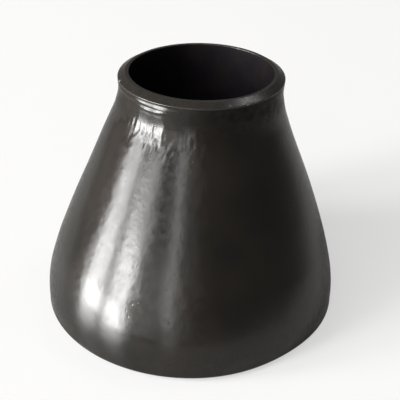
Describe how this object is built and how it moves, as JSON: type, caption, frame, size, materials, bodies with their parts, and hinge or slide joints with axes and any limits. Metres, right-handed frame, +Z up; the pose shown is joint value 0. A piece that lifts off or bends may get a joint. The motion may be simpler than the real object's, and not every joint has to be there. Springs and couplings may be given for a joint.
{
  "type": "eccentric reducer",
  "caption": "Eccentric butt-weld pipe reducer: an open forged steel cone whose two round weld ends line up along one flat side, so a level pipe run keeps its bottom or top line.",
  "frame": {"origin": "centre of the large end, in its end plane", "axes": "+Z up the large end's axis towards the small end; +Y from the large end's axis towards the small end's, so the flat side faces +Y and the steep side faces -Y"},
  "size_m": [0.133, 0.133, 0.1],
  "materials": {
    "black_coated_steel": "thin glossy black rust-guard coat over forged, slightly wavy and pitted steel"
  },
  "bodies": {
    "root": {"reducer_body": "black_coated_steel"}
  },
  "joints": []
}
